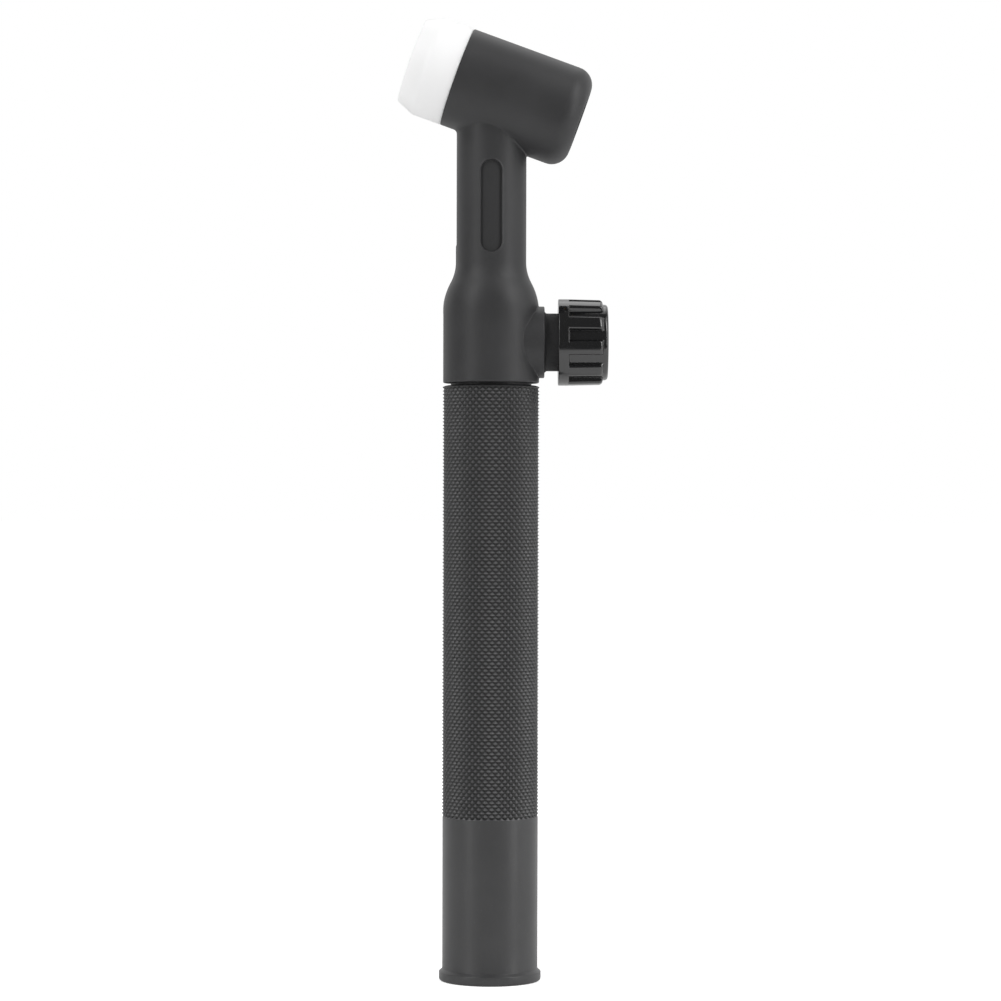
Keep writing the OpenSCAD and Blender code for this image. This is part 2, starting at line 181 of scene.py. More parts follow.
# A closed outline whose corners (x, y, radius) are rounded
def roundedOutline(corners, steps=4):
    points = []
    count = len(corners)
    for i, (x, y, radius) in enumerate(corners):
        corner = np.array([x, y], float)
        if radius <= 0:
            points.append(corner)
            continue
        before = np.array(corners[i - 1][:2]) - corner
        after = np.array(corners[(i + 1) % count][:2]) - corner
        # Two roundings on one side share it in proportion to their radii
        shares = [radius / (radius + corners[j % count][2]) for j in (i - 1, i + 1)]
        room = 0.98 * min(np.linalg.norm(before) * shares[0], np.linalg.norm(after) * shares[1])
        before = before / np.linalg.norm(before)
        after = after / np.linalg.norm(after)
        half = math.acos(np.clip(before @ after, -1, 1)) / 2
        if half > math.pi / 2 - 0.001:  # on a straight line the points are spread evenly
            points += [corner + after * radius * (2 * k / steps - 1) for k in range(steps + 1)]
            continue
        reach = min(radius / math.tan(half), room)
        radius = reach * math.tan(half)
        middle = (before + after) / np.linalg.norm(before + after)
        centre = corner + middle * radius / math.sin(half)
        start = math.atan2(*(corner + before * reach - centre)[::-1])
        sweep = math.atan2(*(corner + after * reach - centre)[::-1]) - start
        sweep = (sweep + math.pi) % turn - math.pi
        for k in range(steps + 1):
            angle = start + sweep * k / steps
            points.append(centre + radius * np.array([math.cos(angle), math.sin(angle)]))
    return np.array(points)


# Collects the patches of one piece, in millimetres, and welds them into one mesh
class Shell:
    def __init__(self):
        self.points = []
        self.faces = []

    # points has the shape (rows, columns, 3)
    def grid(self, points, closed=True, loop=False, skip=None):
        points = np.asarray(points, float)
        rows, columns = points.shape[:2]
        first = len(self.points)
        self.points.extend(points.reshape(-1, 3).tolist())
        for r in range(rows if loop else rows - 1):
            below, above = first + r * columns, first + (r + 1) % rows * columns
            for c in range(columns if closed else columns - 1):
                if skip is None or not skip(r, c):
                    d = (c + 1) % columns
                    self.faces.append((below + c, below + d, above + d, above + c))

    def piece(self, name, material, sharp=35, matrix=None):
        mesh = bpy.data.meshes.new(name)
        mesh.from_pydata((np.array(self.points) * mm).tolist(), [], self.faces)
        mendMesh(mesh, weldDistance)
        if matrix is not None:
            mesh.transform(matrix)
        mesh.shade_smooth()
        mesh.set_sharp_from_angle(angle=math.radians(sharp))
        mesh.materials.append(material)
        piece = bpy.data.objects.new(name, mesh)
        bpy.context.scene.collection.objects.link(piece)
        return piece


# Evenly spaced steps between two numbers or rings, without the two themselves
def between(start, end, steps):
    start, end = np.asarray(start, float), np.asarray(end, float)
    return [start + (end - start) * k / steps for k in range(1, steps)]


# Rings of an outline (radius, height) turned round the local Z axis
def turned(outline, columns):
    angles = np.arange(columns) * turn / columns
    rings = np.zeros((len(outline), columns, 3))
    rings[:, :, 0] = outline[:, 0:1] * np.cos(angles)
    rings[:, :, 1] = outline[:, 0:1] * np.sin(angles)
    rings[:, :, 2] = outline[:, 1:2]
    return rings


def finishPiece(piece, body, slot, *nodes):
    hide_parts(*nodes)
    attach(piece, body)
    return piece


# Silicone rubber from a polished mould: satin, with a skin-fine grain, faint clouds and a broad soft
# sheen. The recess's floor and the valve's collar are rougher, and painted shade makes them darker.
def siliconeRubber():
    material, tree, place = newMaterial("mouldedSiliconeRubber")
    grain = addNode(tree, "ShaderNodeTexNoise", named={"Vector": place, "Scale": 3.5 / mm, "Detail": 2.0})
    cloud, tone = spreadNoise(tree, place, 0.09, 4.0, 0.0, 1.0)
    x, height, radius = splitPlace(tree, place)
    wallTop, wallFoot = (cover["neckRadius"] - 0.1) * mm, (cover["neckRadius"] - 0.3) * mm
    depth = addNode(tree, "ShaderNodeMapRange", radius, wallTop, wallFoot, 0.0, 1.0)
    middle, half = cover["recessMiddle"] * mm, cover["recessLength"] * mm / 2
    beside = addNode(tree, "ShaderNodeMath", height, middle, half, operation="COMPARE")
    inRecess = addNode(tree, "ShaderNodeMath", depth, beside, operation="MULTIPLY")
    outwards = addNode(tree, "ShaderNodeMath", x, cover["bossEnd"] * mm, operation="GREATER_THAN")
    low = addNode(tree, "ShaderNodeMath", height, cover["neckFoot"] * mm, operation="LESS_THAN")
    onCollar = addNode(tree, "ShaderNodeMath", outwards, low, operation="MULTIPLY")
    # Painted shade: the recess's floor and the valve's collar are drawn darker; they are also rougher
    paintedShadeAndDull = addNode(tree, "ShaderNodeMath", inRecess, onCollar, operation="MAXIMUM")
    shade = addNode(tree, "ShaderNodeMapRange", paintedShadeAndDull, 0.0, 1.0, 1.0, 0.72)
    rough = addNode(tree, "ShaderNodeMapRange", cloud, *noiseSpan, 0.43, 0.5)
    rough = addNode(tree, "ShaderNodeMath", paintedShadeAndDull, 0.25, rough, operation="MULTIPLY_ADD")
    return finishMaterial(material, (0.12, 0.02, grain), {
        "Base Color": mixShades(tree, "#323233", "#383839", tone, shade), "Roughness": rough, "IOR": 1.43})


# Phenolic from a polished mould: near-black and glossy, with a faint orange-peel ripple
def phenolicResin():
    material, tree, place = newMaterial("mouldedPhenolicResin")
    ripple = addNode(tree, "ShaderNodeTexNoise", named={"Vector": place, "Scale": 0.7 / mm, "Detail": 1.0})
    _, rough = spreadNoise(tree, place, 0.26, 3.0, 0.09, 0.14)
    return finishMaterial(material, (0.05, 0.03, ripple), {
        "Base Color": hexToLinear("#121213"), "Roughness": rough, "IOR": 1.62, "Specular IOR Level": 0.75})


# PTFE turned from rod: waxy white that lets a little light in, with fine tool rings
def turnedPtfe():
    material, tree, place = newMaterial("turnedPtfe")
    along = addNode(tree, "ShaderNodeMapping", place, (0, 0, 0), (0, -headTilt, 0))
    rings = addNode(tree, "ShaderNodeTexWave", wave_type="BANDS", bands_direction="X",
                    named={"Vector": along, "Scale": 4.134 / bandsPerUnit / mm, "Distortion": 0.4})
    _, rough = spreadNoise(tree, place, 0.22, 2.0, 0.36, 0.46)
    return finishMaterial(material, (0.08, 0.02, rings), {
        "Base Color": hexToLinear("#f7f7f6"), "Roughness": rough, "IOR": 1.36,
        "Subsurface Weight": 1.0, "Subsurface Radius": (1, 1, 1), "Subsurface Scale": 1.5 * mm})


# Metal from a lathe or a draw bench: fine rings across the axis that the work turned on
def machinedMetal(name, hexColour, axisTilt, ringsPerMm, roughness):
    material, tree, place = newMaterial(name)
    along = addNode(tree, "ShaderNodeMapping", place, (0, 0, 0), (0, axisTilt, 0))
    rings = addNode(tree, "ShaderNodeTexWave", wave_type="BANDS", bands_direction="Z",
                    named={"Vector": along, "Scale": ringsPerMm / bandsPerUnit / mm, "Distortion": 0.6})
    _, rough = spreadNoise(tree, place, 0.3, 4.0, roughness - 0.05, roughness + 0.08)
    return finishMaterial(material, (0.2, 0.01, rings), {
        "Base Color": hexToLinear(hexColour), "Metallic": 1.0, "Roughness": rough})


# Silver brazing alloy as it froze: pale and lumpy, with flux haze
def silverSolder():
    material, tree, place = newMaterial("frozenSilverSolder")
    lumps, rough = spreadNoise(tree, place, 0.9, 3.0, 0.25, 0.45)
    return finishMaterial(material, (0.4, 0.1, lumps), {
        "Base Color": hexToLinear("#c9c7bf"), "Metallic": 1.0, "Roughness": rough})


# Nitrile rubber O-ring: dull black with a light film of grease
def nitrileRubber():
    material, tree, place = newMaterial("mouldedNitrileRubber")
    film, rough = spreadNoise(tree, place, 1.2, 2.0, 0.3, 0.5)
    return finishMaterial(material, (0.1, 0.03, film), {
        "Base Color": hexToLinear("#1c1c1d"), "Roughness": rough, "IOR": 1.5})


headTilt = math.radians(20)
knobResin = phenolicResin()
gasketPtfe = turnedPtfe()
brass = {"hexColour": "#c79f57", "ringsPerMm": 9, "roughness": 0.24}
headBrass = machinedMetal("turnedBrassHead", axisTilt=-math.pi / 2 - headTilt, **brass)
blockBrass = machinedMetal("turnedBrassBlock", axisTilt=0.0, **brass)
stemBrass = machinedMetal("turnedBrassStem", axisTilt=-math.pi / 2, **brass)
tubeCopper = machinedMetal("drawnCopper", "#c98263", math.pi / 2, 5, 0.3)
solder = silverSolder()
nitrile = nitrileRubber()
print("finishes made")


# Sizes of the handle sleeve in mm, with the knurl of its grip
handle = {
    "length": 130.7, "tailBore": 9.0, "tailRadius": 10.5, "tailLength": 35.9,
    "flangeRadius": 11.2, "flangeHeight": 2.0, "flangeSlope": 0.6, "flangeEdge": 0.6,
    "gripRadius": 10.65, "gripBore": 8.45, "gripBoreFoot": 95.7, "stopSeat": 8.95, "stopSeatDepth": 0.7,
    "domeWidth": 1.8, "domeHeight": 0.5,
    "diamondsRound": 45, "diamondHeight": 1.51, "knurlDepth": 0.5, "crown": 1.15, "columnsPerDiamond": 4,
}


# Glass-filled nylon: matt, with a fine speckle where the fibres reach the surface. In the grip a painted
# highlight makes the tips and upper sides of the diamonds paler, and painted shade darkens their lower
# sides, the grooves and the shoulder under the torch body, which draws the knurl as rows of bright points.
def mouldedNylon():
    material, tree, place = newMaterial("mouldedGlassFilledNylon")
    facing = addNode(tree, "ShaderNodeSeparateXYZ", place.node.outputs["Normal"]).outputs[2]
    foot, top = handle["tailLength"] * mm, (handle["length"] - handle["domeHeight"]) * mm
    _, height, radius = splitPlace(tree, place)
    onGrip = addNode(tree, "ShaderNodeMath", height, foot, operation="GREATER_THAN")
    tip = handle["gripRadius"] * mm
    # Painted shade and highlight: darker in the grooves and paler at the diamonds' tips, by distance from the
    # axis
    paintedGrooveShade = addNode(tree, "ShaderNodeMapRange", radius, tip - handle["knurlDepth"] * mm, tip, 0.3, 1.9)
    # Painted light from above: upward-facing facets drawn paler and downward-facing facets darker
    paintedFacetLight = addNode(tree, "ShaderNodeMapRange", facing, -0.45, 0.45, 0.3, 1.7)
    paintedFacetLight = addNode(tree, "ShaderNodeMath", paintedFacetLight, paintedGrooveShade, operation="MULTIPLY")
    # Painted shadow: the shoulder at the top of the grip, beneath the torch body, is drawn dark
    under = addNode(tree, "ShaderNodeMapRange", height, top - 0.1 * mm, top + 0.1 * mm, 1.0, 0.15)
    shade = addNode(tree, "ShaderNodeMath", paintedFacetLight, under, operation="MULTIPLY")
    shade = addNode(tree, "ShaderNodeMix", named={0: onGrip, 2: 1.0, 3: shade})
    grain, rough = spreadNoise(tree, place, 2.5, 3.0, 0.32, 0.38)
    _, mottle = spreadNoise(tree, place, 0.09, 4.0, 0.9, 1.1)
    speck = addNode(tree, "ShaderNodeTexVoronoi", named={"Vector": place, "Scale": 0.9 / mm})
    fleck = addNode(tree, "ShaderNodeMapRange", speck, 0.0, 0.16, 1.0, 0.0)
    shade = addNode(tree, "ShaderNodeMath", shade, mottle, operation="MULTIPLY")
    grooved = addNode(tree, "ShaderNodeMapRange", shade, 0.1, 1.0, 0.2, 0.0)
    rough = addNode(tree, "ShaderNodeMath", rough, grooved, operation="ADD")
    return finishMaterial(material, (0.15, 0.03, grain), {
        "Base Color": mixShades(tree, "#343435", "#3f3f40", fleck, shade), "Roughness": rough, "IOR": 1.6})


handleNylon = mouldedNylon()


# Pushes the grip's points in along two crossing families of helical grooves
def diamondKnurlTree():
    tree, given = newGeometryTree("diamondKnurl", [
        ("Grip radius", "Float", 0.01), ("Foot", "Float", 0.0), ("Top", "Float", 0.1),
        ("Diamonds round", "Int", 45), ("Diamond height", "Float", 0.0015),
        ("Depth", "Float", 0.0003), ("Crown", "Float", 0.8),
        ("Foot fade", "Float", 0.0001), ("Top fade", "Float", 0.0005), ("Material", "Material", None)])
    z, share, outward = pointsRoundZ(tree)
    across = addNode(tree, "ShaderNodeMath", share, given["Diamonds round"], operation="MULTIPLY")
    rise = addNode(tree, "ShaderNodeMath", z, given["Foot"], operation="SUBTRACT")
    along = addNode(tree, "ShaderNodeMath", rise, given["Diamond height"], operation="DIVIDE")
    walls = []
    for sign in ("ADD", "SUBTRACT"):
        thread = addNode(tree, "ShaderNodeMath", across, along, operation=sign)
        tooth = addNode(tree, "ShaderNodeMath", thread, 0.5, operation="PINGPONG")
        walls.append(addNode(tree, "ShaderNodeMath", tooth, 2.0, operation="MULTIPLY"))
    pyramid = addNode(tree, "ShaderNodeMath", *walls, operation="MINIMUM")
    crown = addNode(tree, "ShaderNodeMath", pyramid, given["Crown"], operation="POWER")
    hollow = addNode(tree, "ShaderNodeMath", 1.0, crown, operation="SUBTRACT")
    deep = addNode(tree, "ShaderNodeMath", hollow, given["Depth"], operation="MULTIPLY")
    fromTop = addNode(tree, "ShaderNodeMath", given["Top"], z, operation="SUBTRACT")
    lowEnd = addNode(tree, "ShaderNodeMapRange", rise, 0.0, given["Foot fade"], 0.0, 1.0)
    highEnd = addNode(tree, "ShaderNodeMapRange", fromTop, 0.0, given["Top fade"], 0.0, 1.0)
    ends = addNode(tree, "ShaderNodeMath", lowEnd, highEnd, operation="MULTIPLY")
    push = addNode(tree, "ShaderNodeMath", deep, ends, operation="MULTIPLY")
    radius = addNode(tree, "ShaderNodeMath", given["Grip radius"], push, operation="SUBTRACT")
    spread = addNode(tree, "ShaderNodeVectorMath", outward, operation="SCALE", named={"Scale": radius})
    height = addNode(tree, "ShaderNodeCombineXYZ", 0.0, 0.0, z)
    place = addNode(tree, "ShaderNodeVectorMath", spread, height, operation="ADD")
    band = addNode(tree, "GeometryNodeInputNamedAttribute", "grip", data_type="FLOAT")
    chosen = addNode(tree, "FunctionNodeCompare", band, 0.5, data_type="FLOAT", operation="GREATER_THAN")
    moved = addNode(tree, "GeometryNodeSetPosition", given["Geometry"], chosen, place)
    return finishTree(tree, given, moved)


def buildHandle():
    h = handle
    columns = h["diamondsRound"] * h["columnsPerDiamond"]
    top, tail, grip, foot = h["length"], h["tailRadius"], h["gripRadius"], h["tailLength"]
    knurlTop = top - h["domeHeight"]
    pairs = round((knurlTop - foot) / h["diamondHeight"] * h["columnsPerDiamond"])
    seatZ = top - h["stopSeatDepth"]
    tailTop = h["flangeHeight"] + h["flangeSlope"]
    tailRows = [(tail, z, 0) for z in between(foot, tailTop, 6)]
    inner = roundedOutline([
        (tail, foot, 0), (tail, foot - 0.05, 0), (tail, foot - 0.4, 0), *tailRows, (tail, tailTop, 0.12),
        (h["flangeRadius"], h["flangeHeight"], 0.12), (h["flangeRadius"], 0, h["flangeEdge"]),
        (h["tailBore"], 0, 0.25), (h["tailBore"], h["gripBoreFoot"] - 0.55, 0),
        (h["gripBore"], h["gripBoreFoot"], 0), (h["gripBore"], seatZ, 0.1),
        (h["stopSeat"], seatZ, 0), (h["stopSeat"], top, 0.08)])
    dome = [(grip - h["domeWidth"] * (1 - math.sin(a)), knurlTop + h["domeHeight"] * math.cos(a))
            for a in np.linspace(0.1, math.pi / 2, 9)]
    band = [(grip, z) for z in between(knurlTop, foot, 2 * pairs)]
    outline = np.array([*inner, *dome, *band])
    firstBand = len(inner) + len(dome) - 1
    rings = turned(outline, columns)
    # Every second row of the band stands half a column further round
    half = turn / columns / 2
    for row in range(firstBand + 1, len(outline), 2):
        x, y = rings[row, :, 0].copy(), rings[row, :, 1].copy()
        rings[row, :, 0] = x * math.cos(half) - y * math.sin(half)
        rings[row, :, 1] = x * math.sin(half) + y * math.cos(half)
    shell = Shell()
    shell.grid(rings, loop=True)
    # In the knurled band the quads are split along the grooves
    faces = shell.faces[:firstBand * columns]
    for index, (a, b, c, d) in enumerate(shell.faces[firstBand * columns:]):
        shifted = index // columns % 2 == 1
        faces += [(a, b, c), (a, c, d)] if shifted else [(a, b, d), (b, c, d)]
    shell.faces = faces
    piece = shell.piece("handleSleeve", handleNylon, sharp=180)
    spots = readPoints(piece)
    inBand = (np.hypot(spots[:, 0], spots[:, 1]) > grip - 0.005) & (spots[:, 2] > foot + 0.01)
    applyMarked(piece, "grip", inBand, diamondKnurlTree(), {
        "Grip radius": grip * mm, "Foot": foot * mm, "Top": (knurlTop + 0.05) * mm,
        "Diamonds round": h["diamondsRound"],
        "Diamond height": (knurlTop - foot) / pairs * h["columnsPerDiamond"] * mm,
        "Depth": h["knurlDepth"] * mm, "Crown": h["crown"],
        "Foot fade": 0.05 * mm, "Top fade": 0.15 * mm, "Material": handleNylon}, sharp=50)
    return finishPiece(piece, "handle", "handle_nylon", "handle_sleeve")


buildHandle()
print("handle sleeve made")


# Sizes of the moulded cover in mm: spigot, body, neck, head, valve boss and mould seam
cover = {
    "spigotFoot": 112.0, "spigotRadius": 8.3, "ribRise": 0.1, "ribWidth": 1.6, "ribs": 4, "ribPitch": 4.5,
    "studRadius": 4.76, "studBoreDepth": 8.0, "stopRadius": 8.87, "stopFoot": 130.0,
    "bodyFoot": 131.2, "bodyRadius": 10.55, "bodyEdge": 0.3, "shoulderFoot": 146.4,
    "roundRadius": 14.5, "hollowRadius": 9.5, "neckRadius": 7.67, "neckFoot": 157.799,
    "recessMiddle": 169.65, "recessWidth": 4.65, "recessLength": 20.2, "recessDepth": 0.5,
    "recessLip": 0.08,
    "headCentre": 195.799, "headRadius": 11.1, "headFront": -8.0, "headRear": 20.65,
    "headCorner": 4.0, "mouthRadius": 6.8, "mouthFoot": 18.15, "coreRadius": 6.5,
    "creaseBall": (0.25, 0.45),
    "valveHeight": 140.2, "bossRadius": 7.87, "bossEnd": 11.7, "bossFillet": 0.18, "bossEdge": 0.35,
    "collarRadius": 6.35, "collarCone": 0.4, "collarEnd": 16.5,
    "noseRadius": 5.0, "boreEnd": -3.0, "seamHeight": 0.13, "seamRise": 3.0,
    "seamFoot": 146.0, "seamTop": 161.2,
}
# Its mesh: columns round it, and rows and half widths of the patches for boss, recess and crease
coverMesh = {
    "around": 224, "shoulderRows": 22, "bossPatch": (131.7, 149.5), "bossRows": 42, "bossHalf": 35,
    "recessPatch": (157.85, 181.45), "recessRows": 50, "recessHalf": 15, "creaseBand": 1.2,
    "headColumns": 192, "headPatch": (-7.0, 16.6), "headRows": 56, "headHalf": 28,
}
coverRubber = siliconeRubber()
around = coverMesh["around"]


# Stands a piece that was turned round Z on the handle's axis, along the head or the valve
def axisMatrix(height, angle):
    return Matrix.Translation((0, 0, height * mm)) @ Matrix.Rotation(angle, 4, "Y")


headMatrix = axisMatrix(cover["headCentre"], math.pi / 2 + headTilt)
valveMatrix = axisMatrix(cover["valveHeight"], math.pi / 2)


# Radius of body, shoulder and neck at a height
def stemRadius(z):
    body, neck = cover["bodyRadius"], cover["neckRadius"]
    big, small = cover["roundRadius"], cover["hollowRadius"]
    angle = math.acos(1 - (body - neck) / (big + small))
    rise = z - cover["shoulderFoot"]
    if rise <= 0:
        return body
    if rise < big * math.sin(angle):
        return body - big + math.sqrt(big ** 2 - rise ** 2)
    if z < cover["neckFoot"]:
        return neck + small - math.sqrt(small ** 2 - (cover["neckFoot"] - z) ** 2)
    return neck


# Points at an angle round the axis of the handle and of the valve, and of the head, where s runs
# along it towards the cap and psi goes round it from below
def roundHandle(radius, angle, z):
    return radius * math.cos(angle), radius * math.sin(angle), z


def roundValve(x, radius, angle):
    return x, radius * math.cos(angle), cover["valveHeight"] + radius * math.sin(angle)


def headPoint(s, psi, radius=cover["headRadius"]):
    down = radius * math.cos(psi)
    cosine, sine = math.cos(headTilt), math.sin(headTilt)
    return s * cosine - down * sine, radius * math.sin(psi), cover["headCentre"] - s * sine - down * cosine


# Points on a ball round its centre, from one spot that it touches to another
def ballArc(centre, first, second, count):
    start, end = np.array(first) - centre, np.array(second) - centre
    sweep = math.acos(np.clip(start @ end / np.linalg.norm(start) / np.linalg.norm(end), -1, 1))
    return [centre + (start * math.sin(sweep * (1 - t)) + end * math.sin(sweep * t)) / math.sin(sweep)
            for t in np.linspace(0, 1, count)]


# Grid steps once round a rectangle, from its lower left corner
def rectangleSteps(columns, rows):
    return ([(c, 0) for c in range(columns)] + [(columns, r) for r in range(rows)]
            + [(columns - c, rows) for c in range(columns)] + [(0, rows - r) for r in range(rows)])


# For each column, the height, the arc and the spot on the head of the ball that rounds the crease
def neckCrease(angles):
    neck, middle = cover["neckRadius"], cover["headCentre"]
    least, more = cover["creaseBall"]
    cosine, sine = math.cos(headTilt), math.sin(headTilt)
    heights, arcs, onHead = [], [], []
    for angle in angles:
        ball = least + more * (1 - math.cos(angle))
        x, y, _ = roundHandle(neck + ball, angle, 0)
        down = math.sqrt((cover["headRadius"] + ball) ** 2 - y ** 2)
        z = middle - (down + x * sine) / cosine
        s, psi = x * cosine - (z - middle) * sine, math.atan2(y, down)
        heights.append(z)
        arcs.append(ballArc((x, y, z), roundHandle(neck, angle, z), headPoint(s, psi), 6))
        onHead.append((s, psi))
    return np.array(heights), np.array(arcs), onHead


# Rows from the spigot, with its grip ribs and stop ring, over body and shoulder up to the crease
def addStem(shell, angles, creaseHeights, creaseArcs):
    c, m = cover, coverMesh
    foot, spigot, rise, width = c["spigotFoot"], c["spigotRadius"], c["ribRise"], c["ribWidth"]
    boreTop = foot + c["studBoreDepth"]
    corners = [(0, boreTop, 0), (c["studRadius"], boreTop, 0), (c["studRadius"], foot, 0.1),
               (spigot, foot, 0.3)]
    for i in range(c["ribs"]):
        z = foot + c["ribPitch"] * (i + 0.5) - width / 2
        corners += [(spigot, z, 0.05), (spigot + rise, z + rise, 0.1),
                    (spigot + rise, z + width - rise, 0.1), (spigot, z + width, 0.05)]
    (bossFoot, bossTop), (recessFoot, recessTop) = m["bossPatch"], m["recessPatch"]
    corners += [(spigot, c["stopFoot"], 0.1), (c["stopRadius"], c["stopFoot"], 0.1),
                (c["stopRadius"], c["bodyFoot"], 0.08), (c["bodyRadius"], c["bodyFoot"], c["bodyEdge"]),
                (c["bodyRadius"], bossFoot, 0)]
    heights = [*between(bossFoot, bossTop, m["bossRows"]), bossTop,
               *between(bossTop, recessFoot, m["shoulderRows"]), recessFoot]
    outline = np.array([*roundedOutline(corners), *((stemRadius(z), z) for z in heights)])
    rows = list(turned(outline, around))
    neckRow = len(rows) - 1
    bodyRow = neckRow - m["shoulderRows"] - m["bossRows"]

    # The neck's rows bend down towards the crease, outside the recess
    bandTop = np.minimum(recessTop, creaseHeights - m["creaseBand"])
    neckHeights = [*between(recessFoot, bandTop, m["recessRows"]), bandTop]
    for heights in [*neckHeights, *between(bandTop, creaseHeights, 6)]:
        rows.append([roundHandle(c["neckRadius"], a, z) for a, z in zip(angles, heights)])
    rows = np.array([*rows, *creaseArcs.transpose(1, 0, 2)])

    # Mould seam: a fine raised line on the side away from the valve
    for row in rows[:neckRow + m["recessRows"]]:
        z = row[around // 2][2]
        if c["seamFoot"] < z < c["seamTop"]:
            row[around // 2][0] -= c["seamHeight"] * min(1, (z - c["seamFoot"]) / c["seamRise"])

    def cutOut(row, column):
        inBoss = 0 <= row - bodyRow < m["bossRows"] and min(column, around - 1 - column) < m["bossHalf"]
        aside = abs(column + 0.5 - around * 3 / 4)
        inRecess = 0 <= row - neckRow < m["recessRows"] and aside < m["recessHalf"]
        return inBoss or inRecess

    shell.grid(rows, skip=cutOut)


# Boss: from the rectangle left in the body to a circle, then out along the valve
def addBoss(shell):
    c, m = cover, coverMesh
    step, half, ball = turn / around, m["bossHalf"], c["bossFillet"]
    boss, collar, cone, end = c["bossRadius"], c["collarRadius"], c["collarCone"], c["bossEnd"]
    edge = end - c["bossEdge"]
    foot, top = m["bossPatch"]
    rectangle = [((column - half) * step, foot + (top - foot) * row / m["bossRows"])
                 for column, row in rectangleSteps(2 * half, m["bossRows"])]
    alphas = [-math.pi / 2 + (i - half) * step for i in range(around)]
    footRing, arcs = [], []
    for alpha in alphas:
        _, y, z = roundValve(0, boss + ball, alpha)
        x = math.sqrt((stemRadius(z) + ball) ** 2 - y ** 2)
        theta = math.atan2(y, x)
        footRing.append((theta, z))
        arcs.append(ballArc((x, y, z), roundHandle(stemRadius(z), theta, z), roundValve(x, boss, alpha), 4))
    arcs = np.array(arcs)
    rings = [[roundHandle(stemRadius(z), theta, z) for theta, z in ring]
             for ring in [rectangle, *between(rectangle, footRing, 6)]]
    edgeRing = [roundValve(edge, boss, alpha) for alpha in alphas]
    rings += [*arcs.transpose(1, 0, 2), *between(arcs[:, -1], edgeRing, 6)]
    outline = roundedOutline([
        (boss, edge, 0), (boss, end, 0.28), (collar + cone, end, 0.2), (collar, end + cone, 0.3),
        (collar, c["collarEnd"], 0.2), (c["noseRadius"], c["collarEnd"], 0.1),
        (c["noseRadius"], c["boreEnd"], 0), (0, c["boreEnd"], 0)])
    rings += [[roundValve(x, radius, a) for a in alphas] for radius, x in outline]
    shell.grid(rings)


# Recess: from the rectangle left in the neck to a stadium, a wall and a floor
def addRecess(shell):
    c, m = cover, coverMesh
    neck, floor, corner, lip = c["neckRadius"], c["neckRadius"] - c["recessDepth"], 0.1, c["recessLip"]
    half, straight = c["recessWidth"] / 2, c["recessLength"] - c["recessWidth"]
    cap = math.pi * half

    # A point of the stadium and its way outwards, for the way gone round from the right side's foot
    def stadiumPoint(travel):
        travel %= 2 * (straight + cap)
        for side in (1, -1):
            if travel < straight:
                return side * half, side * (travel - straight / 2), side, 0
            travel -= straight
            if travel < cap:
                x, z = side * math.cos(travel / half), side * math.sin(travel / half)
                return half * x, side * straight / 2 + half * z, x, z
            travel -= cap

    def offset(distance):
        return [(x + outX * distance, c["recessMiddle"] + z + outZ * distance)
                for x, z, outX, outZ in stadium]

    def pressed(points, radius):
        return [(x, -math.sqrt(radius ** 2 - x ** 2), z) for x, z in points]

    columns, rows = 2 * m["recessHalf"], m["recessRows"]
    steps = rectangleSteps(columns, rows)
    foot, top = m["recessPatch"]
    rectangle = [(neck * math.sin((column - columns / 2) * turn / around), foot + (top - foot) * row / rows)
                 for column, row in steps]
    stadium = [stadiumPoint((i - columns - rows / 2) / len(steps) * 2 * (straight + cap) + straight / 2)
               for i in range(len(steps))]
    section = [(distance, neck + lip * rise)
               for distance, rise in ((0.4, 0), (0.22, 0.6), (0.12, 1), (0.06, 0.9), (0.01, 0.2))]
    section += [(-0.02, neck - 0.1), (-0.05, floor + corner)]
    section += [(-0.05 - corner * (1 - math.cos(a)), floor + corner * (1 - math.sin(a)))
                for a in np.linspace(0.5, math.pi / 2, 3)]
    section += [(d, floor) for d in [*between(-0.05 - corner, -half, 6), -half]]
    rings = [pressed(ring, neck) for ring in [rectangle, *between(rectangle, offset(section[0][0]), 5)]]
    rings += [pressed(offset(distance), radius) for distance, radius in section]
    shell.grid(rings)


# Head: a turned shell with a bore, joined to the neck's crease below
def addHead(shell, onHead):
    c, m = cover, coverMesh
    head, front, rear, mouth = c["headRadius"], c["headFront"], c["headRear"], c["mouthRadius"]
    columns, half, rows, (low, high) = m["headColumns"], m["headHalf"], m["headRows"], m["headPatch"]
    outline = [(head, low + (high - low) * k / rows) for k in range(rows + 1)]
    outline += [*roundedOutline([
        (head, rear, c["headCorner"]), (mouth, rear, 0.15), (mouth, c["mouthFoot"], 0),
        (c["coreRadius"], c["mouthFoot"], 0), (c["coreRadius"], front, 0), (head, front, 0.12)], steps=10)]
    points = [[headPoint(s, column * turn / columns, radius) for column in range(columns)]
              for radius, s in outline]
    shell.grid(points, loop=True,
               skip=lambda row, column: row < rows and min(column, columns - 1 - column) < half)
    square = [(low + (high - low) * row / rows, (column - half) * turn / columns)
              for row, column in rectangleSteps(rows, 2 * half)]
    first = around * 5 // 8
    inner = [*onHead[first:], *onHead[:first]]
    rings = [inner, *between(inner, square, 8), square]
    shell.grid([[headPoint(s, psi) for s, psi in ring] for ring in rings])


def buildCover():
    shell = Shell()
    angles = np.arange(around) * turn / around
    creaseHeights, creaseArcs, onHead = neckCrease(angles)
    addStem(shell, angles, creaseHeights, creaseArcs)
    addBoss(shell)
    addRecess(shell)
    addHead(shell, onHead)
    piece = shell.piece("torchCover", coverRubber, sharp=40)
    return finishPiece(piece, "torch", "cover_rubber", "torch_cover")


buildCover()
print("torch cover made")


